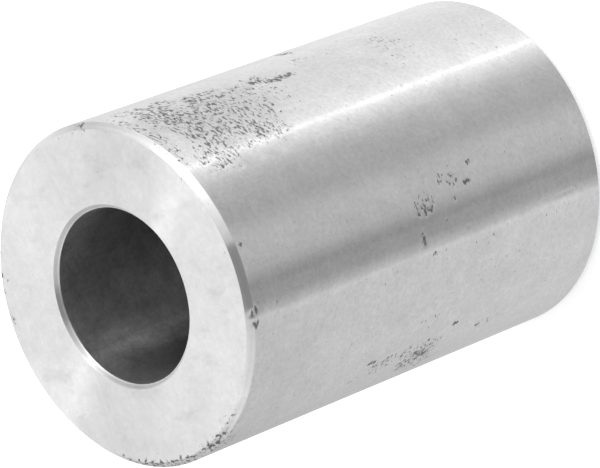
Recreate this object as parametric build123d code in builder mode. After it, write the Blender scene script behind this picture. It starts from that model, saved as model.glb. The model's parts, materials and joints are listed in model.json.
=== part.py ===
from build123d import *
import os

# Spacer sleeve: a thick-walled steel ring, turned all over, that a bolt passes through.
# It stands on one end. Origin at the centre of the lower end face, +Z up the bore. Millimetres.

# Driving dimensions
outer_diameter = 25.4  # one inch
bore_diameter = 13.0  # clears a half inch or 12 mm bolt
length = 38.1  # one and a half inches, from end face to end face
rim_chamfer = 0.45  # each leg of the 45 degree break round the outer rim of both ends
mouth_chamfer = 0.3  # each leg of the 45 degree break round the bore's mouth at both ends

# Sizes that follow from them
bore_radius = bore_diameter / 2
wall = (outer_diameter - bore_diameter) / 2

# The wall's section, with its four corners broken, is turned about the bore's axis
with BuildPart() as sleeve:
    with BuildSketch(Plane.XZ) as section:
        with Locations((bore_radius + wall / 2, length / 2)):
            Rectangle(wall, length)
        mouth_corners, rim_corners = section.vertices().group_by(Axis.X)
        chamfer(rim_corners, length=rim_chamfer)
        chamfer(mouth_corners, length=mouth_chamfer)
    revolve(axis=Axis.Z)
sleeve.part.label = "sleeve"

os.makedirs("parts", exist_ok=True)
export_step(sleeve.part, "parts/sleeve.step")
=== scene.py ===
import json
import math

import bpy
from mathutils import Matrix, Vector


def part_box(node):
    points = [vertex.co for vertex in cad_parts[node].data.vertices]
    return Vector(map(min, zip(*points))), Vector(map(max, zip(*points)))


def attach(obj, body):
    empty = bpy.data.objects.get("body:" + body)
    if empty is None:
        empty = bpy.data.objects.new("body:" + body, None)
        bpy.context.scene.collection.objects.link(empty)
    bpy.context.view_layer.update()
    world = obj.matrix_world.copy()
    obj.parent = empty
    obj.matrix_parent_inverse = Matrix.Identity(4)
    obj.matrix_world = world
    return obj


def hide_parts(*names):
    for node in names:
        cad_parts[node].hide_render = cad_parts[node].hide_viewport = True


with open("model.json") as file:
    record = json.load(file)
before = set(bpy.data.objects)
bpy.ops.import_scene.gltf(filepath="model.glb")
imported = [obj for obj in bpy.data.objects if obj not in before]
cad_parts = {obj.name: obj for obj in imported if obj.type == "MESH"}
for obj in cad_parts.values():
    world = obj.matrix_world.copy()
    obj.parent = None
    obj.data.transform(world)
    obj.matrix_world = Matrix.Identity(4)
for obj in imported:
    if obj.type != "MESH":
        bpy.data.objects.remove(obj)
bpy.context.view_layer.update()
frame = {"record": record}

# One turned steel spacer sleeve, standing on its end. Metres, with the bore along Z.
# Angles on the sleeve are degrees round from its front (-Y), positive towards +X.

mm = 0.001
mounts = {mount["name"]: mount for mount in frame["record"]["mounts"]}
sleeveLow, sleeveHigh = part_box("sleeve")


# small helpers for node trees

def feed(tree, socket, value):  # links another socket, or sets a plain value
    if isinstance(value, bpy.types.NodeSocket):
        tree.links.new(value, socket)
    else:
        socket.default_value = value


def addNode(tree, kind, inputs=None, **settings):
    node = tree.nodes.new(kind)
    for name, value in settings.items():
        setattr(node, name, value)
    for name, value in (inputs or {}).items():
        feed(tree, node.inputs[name], value)
    return node


def calc(tree, operation, *values):
    inputs = dict(enumerate(values))
    return addNode(tree, "ShaderNodeMath", inputs, operation=operation).outputs[0]


def product(tree, *factors):
    total = factors[0]
    for factor in factors[1:]:
        total = calc(tree, "MULTIPLY", total, factor)
    return total


def vectorCalc(tree, operation, *values, output="Vector"):
    inputs = dict(enumerate(values))
    return addNode(tree, "ShaderNodeVectorMath", inputs, operation=operation).outputs[output]


def apart(tree, vector):
    return addNode(tree, "ShaderNodeSeparateXYZ", {"Vector": vector}).outputs


def together(tree, x, y, z):
    return addNode(tree, "ShaderNodeCombineXYZ", {"X": x, "Y": y, "Z": z}).outputs[0]


def grey(tree, value):  # a colour from one number
    inputs = {"Red": value, "Green": value, "Blue": value}
    return addNode(tree, "ShaderNodeCombineColor", inputs).outputs[0]


def mix(tree, factor, a, b):
    inputs = {"Factor": factor, "A": a, "B": b}
    return addNode(tree, "ShaderNodeMix", inputs, data_type="FLOAT").outputs["Result"]


def ease(tree, value, start, end, low=0.0, high=1.0):  # a soft step from low to high between start and end
    inputs = {"Value": value, "From Min": start, "From Max": end, "To Min": low, "To Max": high}
    return addNode(tree, "ShaderNodeMapRange", inputs, interpolation_type="SMOOTHSTEP").outputs["Result"]


def throughPoints(tree, value, points):  # a value that runs in straight lines from point to point
    total = points[0][1]
    for (start, low), (end, high) in zip(points, points[1:]):
        inputs = {"Value": value, "From Min": start, "From Max": end, "To Min": 0.0, "To Max": high - low}
        total = calc(tree, "ADD", total, addNode(tree, "ShaderNodeMapRange", inputs).outputs["Result"])
    return total


def grain(tree, place, size, detail=3.0, rough=0.5):  # noise with lumps of one size, or one size each way
    sizes = size if isinstance(size, tuple) else (size,) * 3
    shrunk = vectorCalc(tree, "DIVIDE", place, sizes)
    inputs = {"Vector": shrunk, "Scale": 1.0, "Detail": detail, "Roughness": rough}
    return addNode(tree, "ShaderNodeTexNoise", inputs)


def varied(tree, place, size, strength, detail=3.0, rough=0.5):  # a factor that noise moves about 1
    noise = grain(tree, place, size, detail, rough).outputs[0]
    return calc(tree, "MULTIPLY_ADD", noise, strength, 1 - strength / 2)


def roundPlace(tree, place):  # degrees round from the front
    parts = apart(tree, place)
    forwards = calc(tree, "MULTIPLY", parts["Y"], -1.0)
    return calc(tree, "DEGREES", calc(tree, "ARCTAN2", parts["X"], forwards))


def fromAxis(tree, place):
    level = vectorCalc(tree, "MULTIPLY", place, (1.0, 1.0, 0.0))
    return vectorCalc(tree, "LENGTH", level, output="Value")


# the sleeve's sizes and wear

sleeve = {
    "outerRadius": mounts["outside"]["dims"]["r_mm"] * mm,
    "boreRadius": mounts["bore"]["dims"]["r_mm"] * mm,
    "length": sleeveHigh[2] - sleeveLow[2],
    "edgeRadius": 0.05 * mm,  # what deburring leaves on each corner
    "mouthRadius": 0.18 * mm,  # the bore edges are rubbed rounder
    "edgeSteps": 2,
    "mouthSteps": 4,
    "boreRow": 3.0 * mm,  # length of one row of faces along each stretch of the section
    "faceRow": 0.9 * mm,
    "rimRow": 0.15 * mm,
    "plainRow": 0.9 * mm,
    "pittedRow": 0.16 * mm,
    "pittedFrom": 9.0 * mm,  # the outside has fine rows from here up
    "plainStep": 1.5,  # degrees between columns
    "pittedStep": 0.66,
    "pittedArcs": ((-112, -52), (-26, 4), (24, 78)),  # degrees, where the columns are close
    "seam": 0.002 * mm,  # points nearer than this are joined where the sheet closes
}
sleeve["rimChamfer"] = (sleeve["length"] - mounts["outside"]["dims"]["length_mm"] * mm) / 2
sleeve["mouthChamfer"] = (sleeve["length"] - mounts["bore"]["dims"]["length_mm"] * mm) / 2

wear = {
    "pitDepth": 0.022 * mm,
    "pitLumps": ((0.38 * mm, 0.38 * mm, 0.20 * mm), 3.0, 0.55),  # noise by its size, detail and roughness
    "pitLevel": 0.73,  # that noise above this is a pit
    "pitGain": 0.40,  # how far thick pitting lowers that level
    "pitEdge": 0.13,  # how softly a pit begins
    "pitFade": (0.4 * mm, 1.0 * mm),  # pits end between these distances in from the outside
    "strayPits": 0.18,  # how thickly the outside is pitted away from the patches
    "patchy": (0.8 * mm, 0.7),  # size and strength of the changes inside a patch
    "ragged": (1.3 * mm, 1.6),  # the same for the edge of a patch
    "patchEdge": (0.6, 1.3),  # a patch ends between these shares of its half width
    "pitPatches": (  # degrees round, mm up, half width round and up in mm, how thickly pitted
        (35, 34.0, 2.4, 2.4, 0.56),  # the wide patch under the upper end
        (47, 33.5, 3.0, 2.4, 0.68),
        (60, 33.8, 3.0, 2.5, 0.68),
        (71, 35.4, 1.4, 1.1, 0.55),
        (46, 30.2, 3.8, 2.8, 0.62),
        (57, 29.8, 2.8, 2.4, 0.64),
        (36, 28.4, 1.4, 1.8, 0.54),
        (52, 27.0, 3.4, 2.4, 0.54),
        (54, 24.5, 2.8, 1.8, 0.46),
        (51, 37.2, 5.0, 0.7, 0.55),
        (60, 24.2, 0.8, 1.2, 0.72),  # the streak that runs down from it
        (57, 22.4, 0.5, 1.6, 0.80),
        (64, 19.0, 0.6, 1.6, 0.46),
        (76, 17.4, 1.1, 0.9, 0.70),
        (54, 11.3, 2.2, 1.6, 0.44),
        (45, 12.6, 0.9, 0.5, 0.44),
        (41, 16.2, 0.5, 0.8, 0.46),
        (-7, 18.8, 1.0, 0.9, 0.58),  # the hook of pits on the front
        (-8, 19.8, 0.9, 0.3, 0.70),
        (-18, 19.8, 0.7, 0.25, 0.80),
        (-9, 19.1, 0.8, 0.2, 0.78),
        (-24, 18.8, 0.3, 0.5, 0.66),
        (-1, 17.0, 0.5, 0.8, 0.64),
        (-3, 15.6, 0.6, 0.8, 0.68),
        (-5, 14.2, 0.25, 0.5, 1.00),
        (-9, 15.9, 0.12, 0.12, 1.50),
        (-14.6, 17.2, 0.12, 0.12, 1.50),
        (0.6, 13.5, 0.3, 0.3, 0.75),
        (-25, 12.4, 0.15, 0.15, 1.20),
        (-67, 18.2, 1.3, 2.2, 0.72),  # the patch low on the left
        (-73, 16.6, 1.5, 1.6, 0.54),
        (-61, 18.4, 0.9, 3.2, 0.54),
        (-63, 22.4, 0.9, 1.8, 0.52),
        (-62, 11.0, 0.8, 1.4, 0.50),
        (-55.5, 15.1, 0.3, 0.4, 0.95),
        (-48, 18.4, 0.4, 1.6, 0.40),
        (-59, 23.8, 0.25, 0.5, 0.95),
        (-59.6, 21.7, 0.2, 0.35, 0.90),
        (-65, 25.0, 0.7, 0.9, 0.52),
        (-62, 11.9, 0.3, 0.3, 0.80),
        (-21, 37.5, 1.1, 0.4, 0.66),  # the broken rim of the upper end
        (2, 37.2, 0.3, 0.3, 0.70),
        (-76, 37.9, 4.5, 0.6, 0.62),
        (-102, 37.9, 4.0, 0.5, 0.66),
        (-74, 36.8, 1.6, 0.8, 0.52),
        (162, 37.8, 4.5, 0.5, 0.64),
        (80, 37.9, 1.2, 0.3, 0.52),
    ),
    "stains": (  # the same for soft grey stains
        (-50, 36.5, 8.5, 6.0, 0.12),
        (-55, 31.5, 3.5, 3.5, 0.08),
        (-74, 17.0, 3.0, 3.0, 0.08),
        (50, 31.0, 5.5, 6.5, 0.15),
        (0, 38.0, 40.0, 26.0, 0.05),
    ),
    "paintedBoreHighlight": (  # the same for a painted highlight, a streak in the bore painted brighter
        (-149, 31.0, 3.8, 6.0, 0.3),
        (-149, 31.0, 2.8, 5.0, 0.6),
        (-150, 31.5, 1.7, 4.2, 1.0),
    ),
}


def pitShape(tree, place, pitting):  # 0 on sound metal to 1 in a pit
    lumps = grain(tree, place, *wear["pitLumps"]).outputs[0]
    level = calc(tree, "MULTIPLY_ADD", pitting, -wear["pitGain"], wear["pitLevel"])
    return ease(tree, lumps, level, calc(tree, "ADD", level, wear["pitEdge"]))


def patchwork(tree, surface, ragged, patches, ground):  # strength of the strongest patch at each place
    strength = ground
    for degrees, up, halfRound, halfUp, thick in patches:
        centre = (math.radians(degrees) * sleeve["outerRadius"] / mm, up, 0.0)
        offset = vectorCalc(tree, "SUBTRACT", surface, centre)
        offset = vectorCalc(tree, "DIVIDE", offset, (halfRound, halfUp, 1.0))
        distance = vectorCalc(tree, "LENGTH", vectorCalc(tree, "ADD", offset, ragged), output="Value")
        strength = calc(tree, "MAXIMUM", strength, ease(tree, distance, *wear["patchEdge"], thick, 0.0))
    return strength


# the section that is turned

def spread(start, end, step):  # points from start towards end, end left out
    start, end = Vector(start), Vector(end)
    count = max(1, round((end - start).length / step))
    return [start.lerp(end, i / count) for i in range(count)]


def sectionLoop(s):  # points (radius, height) round the wall, up the bore first
    low, high = 0.0, s["length"]
    inner, outer = s["boreRadius"], s["outerRadius"]
    mouth, rim = s["mouthChamfer"], s["rimChamfer"]
    corners = [
        (inner, low + mouth), (inner, high - mouth), (inner + mouth, high), (outer - rim, high),
        (outer, high - rim), (outer, low + rim), (outer - rim, low), (inner + mouth, low),
    ]
    corners = [Vector(corner) for corner in corners]
    rows = ["boreRow", "rimRow", "faceRow", "rimRow", "pittedRow", "rimRow", "faceRow", "rimRow"]
    rounds = [(s["mouthRadius"], s["mouthSteps"])] * 2 + [(s["edgeRadius"], s["edgeSteps"])] * 6
    reach = math.tan(math.radians(22.5))  # of a round along its sides, as each corner turns by 45 degrees
    points = []
    for i, corner in enumerate(corners):
        following = (i + 1) % len(corners)
        onwards = (corners[following] - corner).normalized()
        radius, roundSteps = rounds[i]
        trim = radius * reach
        enter = corner + (corners[i - 1] - corner).normalized() * trim
        leave = corner + onwards * trim
        for k in range(roundSteps + 1):  # the corner's small round
            t = k / roundSteps
            points.append(enter.lerp(corner, t).lerp(corner.lerp(leave, t), t))
        support = onwards * s["edgeRadius"]  # keeps the shading of flats flat
        start = leave + support
        end = corners[following] - support - onwards * rounds[following][0] * reach
        if rows[i] == "pittedRow":
            split = Vector((outer, s["pittedFrom"]))
            points += spread(start, split, s["pittedRow"]) + spread(split, end, s["plainRow"])
        else:
            points += spread(start, end, s[rows[i]])
        points.append(end)
    return points


def columnAngles(s):  # (column, angle) wherever the spacing of the columns changes
    stretches = []
    for start, end in s["pittedArcs"]:
        stretches += [(start, s["plainStep"]), (end, s["pittedStep"])]
    stretches.append((180, s["plainStep"]))
    points = [(0, -180)]
    for angle, step in stretches:
        column, before = points[-1]
        points.append((column + round((angle - before) / step), angle))
    return points


# Geometry Nodes: turns the section, sinks the pits and gives each surface its material

def socketKind(value):
    if isinstance(value, bpy.types.Material):
        return "NodeSocketMaterial"
    return "NodeSocketInt" if isinstance(value, int) else "NodeSocketFloat"


def newTurningTree(sizes):  # one named input for each size and steel
    tree = bpy.data.node_groups.new("turnedSleeve", "GeometryNodeTree")
    tree.interface.new_socket("Geometry", in_out="INPUT", socket_type="NodeSocketGeometry")
    for name, value in sizes.items():
        tree.interface.new_socket(name, in_out="INPUT", socket_type=socketKind(value))
    tree.interface.new_socket("Geometry", in_out="OUTPUT", socket_type="NodeSocketGeometry")
    return tree, tree.nodes.new("NodeGroupInput").outputs


def rolledSheet(tree, given, position, angles):  # a sheet of columns and rows, rolled round the axis
    rowCount = calc(tree, "ADD", given["Section Points"], 1.0)
    sheet = addNode(tree, "GeometryNodeMeshGrid", {"Vertices X": angles[-1][0] + 1, "Vertices Y": rowCount})
    index = addNode(tree, "GeometryNodeInputIndex").outputs[0]
    column = calc(tree, "FLOOR", calc(tree, "DIVIDE", calc(tree, "ADD", index, 0.5), rowCount))
    row = calc(tree, "SUBTRACT", index, calc(tree, "MULTIPLY", column, rowCount))
    row = calc(tree, "MODULO", row, given["Section Points"])
    section = addNode(tree, "GeometryNodeSampleIndex", data_type="FLOAT_VECTOR")
    feed(tree, section.inputs["Geometry"], given["Geometry"])
    feed(tree, section.inputs["Value"], position)
    feed(tree, section.inputs["Index"], row)
    point = apart(tree, section.outputs["Value"])
    angle = calc(tree, "RADIANS", throughPoints(tree, column, angles))
    across = calc(tree, "MULTIPLY", point["X"], calc(tree, "SINE", angle))
    back = product(tree, point["X"], calc(tree, "COSINE", angle), -1.0)
    turned = together(tree, across, back, point["Z"])
    rolled = addNode(tree, "GeometryNodeSetPosition", {"Geometry": sheet.outputs["Mesh"], "Position": turned})
    closing = {"Geometry": rolled.outputs[0], "Distance": sleeve["seam"]}
    closed = addNode(tree, "GeometryNodeMergeByDistance", closing)
    return addNode(tree, "GeometryNodeFlipFaces", {"Mesh": closed.outputs[0]}).outputs[0]


def mapWear(tree, given, geometry, position):  # keeps how pitted and stained each place is, and where a highlight is painted in the bore
    mmPerDegree = calc(tree, "MULTIPLY", given["Outer Radius"], math.radians(1) / mm)
    roundMm = calc(tree, "MULTIPLY", roundPlace(tree, position), mmPerDegree)
    upMm = calc(tree, "DIVIDE", apart(tree, position)["Z"], mm)
    surface = together(tree, roundMm, upMm, 0.0)
    raggedSize, raggedReach = wear["ragged"]
    wander = vectorCalc(tree, "SUBTRACT", grain(tree, position, raggedSize).outputs["Color"], (0.5, 0.5, 0.5))
    ragged = vectorCalc(tree, "MULTIPLY", wander, (raggedReach, raggedReach, 0.0))
    inwards = calc(tree, "SUBTRACT", given["Outer Radius"], fromAxis(tree, position))
    worn = {
        "pitting": product(
            tree,
            patchwork(tree, surface, ragged, wear["pitPatches"], given["Stray Pits"]),
            varied(tree, position, *wear["patchy"]),
            ease(tree, inwards, *wear["pitFade"], 1.0, 0.0),
        ),
        "stain": patchwork(tree, surface, ragged, wear["stains"], 0.0),
        "boreHighlight": patchwork(tree, surface, ragged, wear["paintedBoreHighlight"], 0.0),
    }
    for name, value in worn.items():
        inputs = {"Geometry": geometry, "Name": name, "Value": value}
        geometry = addNode(tree, "GeometryNodeStoreNamedAttribute", inputs, data_type="FLOAT").outputs[0]
    return geometry


def sinkPits(tree, given, geometry, position):  # pits go in against the surface's own normal
    named = {"Name": "pitting"}
    pitting = addNode(tree, "GeometryNodeInputNamedAttribute", named, data_type="FLOAT").outputs[0]
    depth = product(tree, pitShape(tree, position, pitting), given["Pit Depth"], -1.0)
    inputs = {"Vector": addNode(tree, "GeometryNodeInputNormal").outputs[0], "Scale": depth}
    inwards = addNode(tree, "ShaderNodeVectorMath", inputs, operation="SCALE").outputs[0]
    return addNode(tree, "GeometryNodeSetPosition", {"Geometry": geometry, "Offset": inwards}).outputs[0]


def dress(tree, given, geometry, position):  # a steel for each surface, chosen by place
    height = apart(tree, position)["Z"]
    fromEnd = calc(tree, "MINIMUM", height, calc(tree, "SUBTRACT", given["Length"], height))
    fromBore = calc(tree, "SUBTRACT", fromAxis(tree, position), given["Bore Radius"])
    margin = 0.03 * mm
    boreMargin = 0.0075 * mm
    rimDepth = calc(tree, "SUBTRACT", given["Rim Chamfer"], margin)
    mouthWidth = calc(tree, "SUBTRACT", given["Mouth Chamfer"], margin)
    chosen = {  # later ones go over earlier ones
        "Outside Steel": True,
        "Rim Steel": calc(tree, "LESS_THAN", fromEnd, rimDepth),
        "Face Steel": calc(tree, "LESS_THAN", fromEnd, margin),
        "Mouth Steel": calc(tree, "LESS_THAN", fromBore, mouthWidth),
        "Bore Steel": calc(tree, "LESS_THAN", fromBore, boreMargin),
    }
    geometry = addNode(tree, "GeometryNodeRealizeInstances", {"Geometry": geometry}).outputs[0]
    for name, selection in chosen.items():
        inputs = {"Geometry": geometry, "Selection": selection, "Material": given[name]}
        geometry = addNode(tree, "GeometryNodeSetMaterial", inputs).outputs[0]
    return geometry


def turningTree(s, sizes):
    tree, given = newTurningTree(sizes)
    position = addNode(tree, "GeometryNodeInputPosition").outputs[0]
    geometry = rolledSheet(tree, given, position, columnAngles(s))
    geometry = mapWear(tree, given, geometry, position)
    geometry = sinkPits(tree, given, geometry, position)
    smooth = {"Geometry": geometry, "Shade Smooth": True}
    geometry = addNode(tree, "GeometryNodeSetShadeSmooth", smooth).outputs[0]
    geometry = dress(tree, given, geometry, position)
    feed(tree, tree.nodes.new("NodeGroupOutput").inputs["Geometry"], geometry)
    return tree


def makeSleeve(s, steels):
    section = sectionLoop(s)
    wire = bpy.data.meshes.new("section")
    wire.from_pydata([(radius, 0.0, height) for radius, height in section], [], [])
    blank = bpy.data.objects.new("sectionPoints", wire)
    bpy.context.scene.collection.objects.link(blank)
    sizes = {
        "Section Points": len(section),
        "Pit Depth": wear["pitDepth"],
        "Stray Pits": wear["strayPits"],
        "Outer Radius": s["outerRadius"],
        "Bore Radius": s["boreRadius"],
        "Length": s["length"],
        "Rim Chamfer": s["rimChamfer"],
        "Mouth Chamfer": s["mouthChamfer"],
        **steels,
    }
    turning = blank.modifiers.new("turning", "NODES")
    turning.node_group = turningTree(s, sizes)
    for socket in turning.node_group.interface.items_tree:  # inputs go in by the socket's identifier
        if socket.name in sizes:
            turning[socket.identifier] = sizes[socket.name]
    depsgraph = bpy.context.evaluated_depsgraph_get()
    mesh = bpy.data.meshes.new_from_object(blank.evaluated_get(depsgraph), depsgraph=depsgraph)
    bpy.data.objects.remove(blank)
    piece = bpy.data.objects.new("turnedSleeve", mesh)
    bpy.context.scene.collection.objects.link(piece)
    print("sleeve:", len(mesh.vertices), "vertices,", len(mesh.polygons), "faces")
    return piece


# steels

steel = {
    "colour": 0.64,  # bare steel, neutral grey
    "pitColour": 0.12,
    # painted shade: the bore's steel is painted darker than the outside steel, as the bore lies in shade
    "shadedBoreColour": 0.37,
    "outsideRoughness": 0.22,
    "faceRoughness": 0.25,
    "rimRoughness": 0.22,
    "mouthRoughness": 0.45,
    "boreRoughness": 0.42,
    "pitRoughness": 0.3,  # added in a pit
    "pitCrust": 0.7,  # how far a pit's dark crust hides the metal
    "brushing": 1.0,  # how much longer the gloss is across the turning marks than along them
    "boreBrushing": 0.7,
    "paintedMouthHighlight": (0.12 * mm, 1.45),  # painted highlight: how wide and how bright a line is painted along the bore's own edge
    "dullness": (3 * mm, 0.3, 4.0),  # uneven tone by its size, strength, detail and roughness
    "outsideMottle": (2.5 * mm, 0.24, 4.0, 0.6),
    "outsideGrit": (0.35 * mm, 0.45, 3.0, 0.8),
    "outsideLines": ((9 * mm, 9 * mm, 0.2 * mm), 0.05, 2.0),
    "faceMottle": (2.6 * mm, 0.30, 4.0, 0.6),
    "faceGrit": (0.45 * mm, 0.22, 3.0, 0.7),
    "faceLines": (0.12 * mm, 0.03, 2.0),
    "faceScratches": ((5 * mm, 0.15 * mm, 1 * mm), 0.06, 2.0),
    "edgeMottle": (1.5 * mm, 0.34, 6.0, 0.62),
    "edgeLines": ((12 * mm, 12 * mm, 0.14 * mm), 0.32, 2.0),
    "boreMottle": (2.4 * mm, 1.3, 6.0, 0.66),
    "boreGrit": (0.3 * mm, 0.6, 3.0, 0.75),
    "faceSmudges": ((1.6 * mm, 4 * mm, 2 * mm), 4.0, 0.6),  # the same without a strength
    "smudgeEdge": (0.52, 0.75),
    "smudgeTone": 0.88,
    "outsideWaves": (1.2 * mm, 4.0),
    "outsideWaveDepth": 0.004 * mm,
    "faceWaves": (1.5 * mm, 1.0),
    "faceWaveDepth": 0.003 * mm,
    "boreScores": ((3 * mm, 3 * mm, 0.2 * mm), 4.0),
    "boreScoreDepth": 0.003 * mm,
    "pitRelief": 0.008 * mm,
}


def newSteel(name):
    material = bpy.data.materials.new(name)
    material.use_nodes = True
    tree = material.node_tree
    tree.nodes.clear()
    shader = addNode(tree, "ShaderNodeBsdfPrincipled", {"Metallic": 1.0})
    output = tree.nodes.new("ShaderNodeOutputMaterial")
    tree.links.new(shader.outputs[0], output.inputs["Surface"])
    place = tree.nodes.new("ShaderNodeTexCoord").outputs["Object"]
    return material, tree, shader, place


def brushAcross(tree, shader, amount):  # turning marks run round the axis, so the gloss spreads across them
    shader.inputs["Anisotropic"].default_value = amount
    shader.inputs["Anisotropic Rotation"].default_value = 0.25
    tangent = addNode(tree, "ShaderNodeTangent", direction_type="RADIAL", axis="Z")
    tree.links.new(tangent.outputs[0], shader.inputs["Tangent"])


def paint(tree, shader, value):
    feed(tree, shader.inputs["Base Color"], grey(tree, value))


def relief(tree, shader, *layers):  # each layer is a height and how deep it is
    inputs = {"Strength": 1.0}
    for height, depth in layers:
        inputs.update({"Height": height, "Distance": depth})
        inputs["Normal"] = addNode(tree, "ShaderNodeBump", inputs).outputs[0]
    feed(tree, shader.inputs["Normal"], inputs["Normal"])


def keptValue(tree, name):
    return addNode(tree, "ShaderNodeAttribute", attribute_name=name).outputs["Fac"]


def pitSteel(tree, shader, place, sound, roughness):  # pits are darker, duller and rougher than sound metal
    pit = pitShape(tree, place, keptValue(tree, "pitting"))
    paint(tree, shader, mix(tree, pit, sound, steel["pitColour"]))
    feed(tree, shader.inputs["Metallic"], calc(tree, "MULTIPLY_ADD", pit, -steel["pitCrust"], 1.0))
    feed(tree, shader.inputs["Roughness"], calc(tree, "MULTIPLY_ADD", pit, steel["pitRoughness"], roughness))
    return pit


def outsideSteel():
    material, tree, shader, place = newSteel("outsideSteel")
    brushAcross(tree, shader, steel["brushing"])
    mottle = varied(tree, place, *steel["outsideMottle"])
    grit = varied(tree, place, *steel["outsideGrit"])
    lines = varied(tree, place, *steel["outsideLines"])
    clean = calc(tree, "SUBTRACT", 1.0, keptValue(tree, "stain"))
    sound = product(tree, mottle, grit, lines, clean, steel["colour"])
    dullness = varied(tree, place, *steel["dullness"])
    pit = pitSteel(tree, shader, place, sound, calc(tree, "MULTIPLY", dullness, steel["outsideRoughness"]))
    waves = grain(tree, place, *steel["outsideWaves"]).outputs[0]
    sunk = calc(tree, "MULTIPLY", pit, -1.0)
    relief(tree, shader, (waves, steel["outsideWaveDepth"]), (sunk, steel["pitRelief"]))
    return material


def faceSteel():
    material, tree, shader, place = newSteel("faceSteel")
    brushAcross(tree, shader, steel["brushing"])
    lines = varied(tree, together(tree, fromAxis(tree, place), 0.0, 0.0), *steel["faceLines"])
    mottle = varied(tree, place, *steel["faceMottle"])
    grit = varied(tree, place, *steel["faceGrit"])
    smudge = grain(tree, place, *steel["faceSmudges"]).outputs[0]
    smudge = ease(tree, smudge, *steel["smudgeEdge"], 1.0, steel["smudgeTone"])
    scratches = varied(tree, place, *steel["faceScratches"])
    sound = product(tree, lines, mottle, grit, smudge, scratches, steel["colour"])
    dullness = varied(tree, place, *steel["dullness"])
    pitSteel(tree, shader, place, sound, calc(tree, "MULTIPLY", dullness, steel["faceRoughness"]))
    waves = grain(tree, place, *steel["faceWaves"]).outputs[0]
    relief(tree, shader, (waves, steel["faceWaveDepth"]))
    return material


def edgeSteel(name, roughness):
    material, tree, shader, place = newSteel(name)
    brushAcross(tree, shader, steel["brushing"])
    lines = varied(tree, place, *steel["edgeLines"])
    mottle = varied(tree, place, *steel["edgeMottle"])
    width, shine = steel["paintedMouthHighlight"]
    bore = sleeve["boreRadius"]
    # painted highlight: the mouth's steel is painted brighter close to the bore's edge
    mouthHighlight = ease(tree, fromAxis(tree, place), bore + width, bore, 1.0, shine)
    pitSteel(tree, shader, place, product(tree, lines, mottle, mouthHighlight, steel["colour"]), roughness)
    return material


def boreSteel():
    material, tree, shader, place = newSteel("boreSteel")
    brushAcross(tree, shader, steel["boreBrushing"])
    mottle = varied(tree, place, *steel["boreMottle"])
    grit = varied(tree, place, *steel["boreGrit"])
    # painted shade: the bore's tone starts from the darker bore colour
    tone = product(tree, mottle, grit, steel["shadedBoreColour"])
    # painted highlight: the bore's steel is painted brighter along one streak
    paint(tree, shader, product(tree, tone, calc(tree, "ADD", 1.0, keptValue(tree, "boreHighlight"))))
    shader.inputs["Roughness"].default_value = steel["boreRoughness"]
    scores = grain(tree, place, *steel["boreScores"]).outputs[0]
    relief(tree, shader, (scores, steel["boreScoreDepth"]))
    return material


# studio

view = {
    "lens": 296.1,
    "distance": 361.7 * mm,
    "aim": (-0.36 * mm, 0.0, 19.63 * mm),
    "down": 43.27,  # degrees below level
    "roll": -110.97,
}

studio = {
    "floorHalf": 3.0,
    "floorColour": 0.9,
    "floorGlow": 0.35,  # the table is lit from below
    "padHalf": sleeve["boreRadius"] * 1.2,  # a dark pad closes the bore's foot and glows, a glowing sheet that lights the bore from below
    "padHeight": -0.1 * mm,
    "padColour": 0.05,
    "padGlow": 0.6,
    "backdrop": 1.0,
    "edgeBlend": (0.25, 0.50),  # how far up a surface faces where its lights change over
    "faceBlend": (0.86, 0.94),
    # soft lights, as degrees round from the front and brightness, straight lines between
    "wallLights": (  # what the wall mirrors
        (-180, 0.95), (-88, 0.58), (-80, 0.70), (-72, 0.77), (-60, 0.85), (-45, 0.88), (-24.5, 0.90),
        (-23.3, 1.0), (-22.5, 0.98), (-22, 0.78), (-17.5, 0.51), (-14, 0.51), (-12.3, 0.43), (-10.4, 0.52),
        (-6.6, 0.71), (0, 0.78), (4, 0.75), (8, 0.64), (11.3, 0.58), (19, 0.65), (22.5, 0.73), (31.5, 1.28),
        (32.5, 1.70), (33.4, 1.70), (34, 1.32), (37, 1.26), (44, 1.15), (55, 1.12), (66, 1.20), (75, 1.22),
        (84, 1.08), (180, 0.95),
    ),
    "edgeLights": (  # what the broken edges mirror
        (-180, 0.92), (-128, 0.95), (-120, 0.78), (-86, 0.76), (-76, 0.85), (-60, 1.12), (-48, 1.15),
        (-30, 1.0), (-20.5, 0.85), (-19.5, 0.33), (2.7, 0.31), (4.2, 0.80), (12, 1.08), (20, 1.5),
        (30.5, 2.2), (31.5, 6.0), (33.0, 6.0), (34, 2.2), (42, 2.0), (50, 1.45), (60, 1.22), (78, 0.90),
        (86, 0.95), (100, 1.24), (120, 1.15), (140, 0.94), (180, 0.92),
    ),
    "faceLights": (  # what the end face mirrors
        (-180, 1.28), (-150, 1.20), (-120, 1.05), (-105, 1.10), (-90, 1.20), (-65, 1.22), (-45, 1.38),
        (-25, 1.32), (0, 1.28), (25, 1.30), (31.0, 1.5), (31.6, 4.0), (32.6, 4.0), (33.4, 1.5), (40, 1.16),
        (60, 1.00), (80, 1.08), (95, 1.20), (125, 1.32), (180, 1.28),
    ),
}


def placeCamera(v):
    camera = bpy.data.objects.new("camera", bpy.data.cameras.new("camera"))
    bpy.context.scene.collection.objects.link(camera)
    camera.data.lens = v["lens"]
    camera.data.clip_start = 0.01
    tilt = Matrix.Rotation(math.radians(90 - v["down"]), 4, "X")
    turn = tilt @ Matrix.Rotation(math.radians(v["roll"]), 4, "Z")
    back = turn @ Vector((0.0, 0.0, 1.0))
    camera.matrix_world = Matrix.Translation(Vector(v["aim"]) + back * v["distance"]) @ turn
    bpy.context.scene.camera = camera


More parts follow.
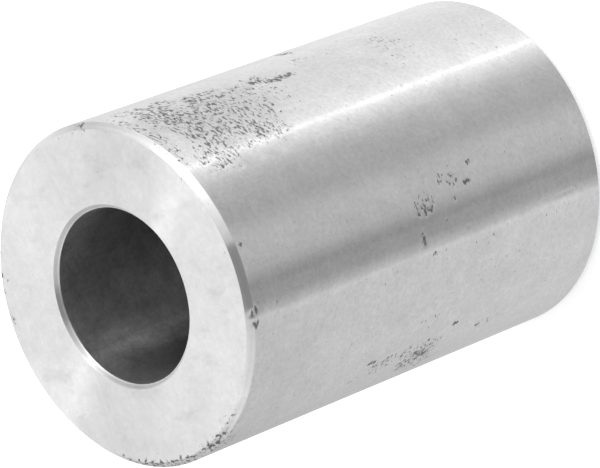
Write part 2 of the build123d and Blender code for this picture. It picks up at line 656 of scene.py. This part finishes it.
def hangLights(s):
    world = bpy.data.worlds.new("studio")
    bpy.context.scene.world = world
    world.use_nodes = True
    tree = world.node_tree
    tree.nodes.clear()
    sky = tree.nodes.new("ShaderNodeTexCoord").outputs["Generated"]
    slope = math.radians(view["down"])
    front = (0.0, -math.cos(slope), math.sin(slope))
    # the way a surface faces when it mirrors this part of the sky
    facing = vectorCalc(tree, "NORMALIZE", vectorCalc(tree, "ADD", sky, front))
    degrees = roundPlace(tree, facing)
    level = apart(tree, facing)["Z"]
    rings = [throughPoints(tree, degrees, s[name]) for name in ("wallLights", "edgeLights", "faceLights")]
    light = mix(tree, ease(tree, level, *s["edgeBlend"]), rings[0], rings[1])
    light = mix(tree, ease(tree, level, *s["faceBlend"]), light, rings[2])
    seen = tree.nodes.new("ShaderNodeLightPath").outputs["Is Camera Ray"]
    light = mix(tree, seen, light, s["backdrop"])
    background = addNode(tree, "ShaderNodeBackground", {"Color": grey(tree, light), "Strength": 1.0})
    tree.links.new(background.outputs[0], tree.nodes.new("ShaderNodeOutputWorld").inputs["Surface"])


def flatSheet(name, half, height, colour, glow):  # a square of card for the stage
    mesh = bpy.data.meshes.new(name)
    corners = [(-half, -half, height), (half, -half, height), (half, half, height), (-half, half, height)]
    mesh.from_pydata(corners, [], [(0, 1, 2, 3)])
    card = bpy.data.materials.new(name + "Card")
    card.use_nodes = True
    shader = card.node_tree.nodes["Principled BSDF"]
    shader.inputs["Base Color"].default_value = (colour, colour, colour, 1.0)
    shader.inputs["Roughness"].default_value = 0.9
    shader.inputs["Specular IOR Level"].default_value = 0.0
    shader.inputs["Emission Color"].default_value = (1.0, 1.0, 1.0, 1.0)
    shader.inputs["Emission Strength"].default_value = glow
    mesh.materials.append(card)
    sheet = bpy.data.objects.new(name, mesh)
    bpy.context.scene.collection.objects.link(sheet)
    return sheet


def layFloor(s):
    floor = flatSheet("floor", s["floorHalf"], 0.0, s["floorColour"], s["floorGlow"])
    floor.visible_glossy = False  # the lights that the wall mirrors hang lower than the floor
    floor.visible_shadow = False
    flatSheet("pad", s["padHalf"], s["padHeight"], s["padColour"], s["padGlow"])


bpy.context.scene.view_settings.view_transform = "Standard"
placeCamera(view)
hangLights(studio)
layFloor(studio)
print("studio set")

steels = {
    "Outside Steel": outsideSteel(),
    "Rim Steel": edgeSteel("rimSteel", steel["rimRoughness"]),
    "Face Steel": faceSteel(),
    "Mouth Steel": edgeSteel("mouthSteel", steel["mouthRoughness"]),
    "Bore Steel": boreSteel(),
}
print("steels ready")

turnedSleeve = makeSleeve(sleeve, steels)
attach(turnedSleeve, "root")
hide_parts("sleeve")
print("sleeve turned")
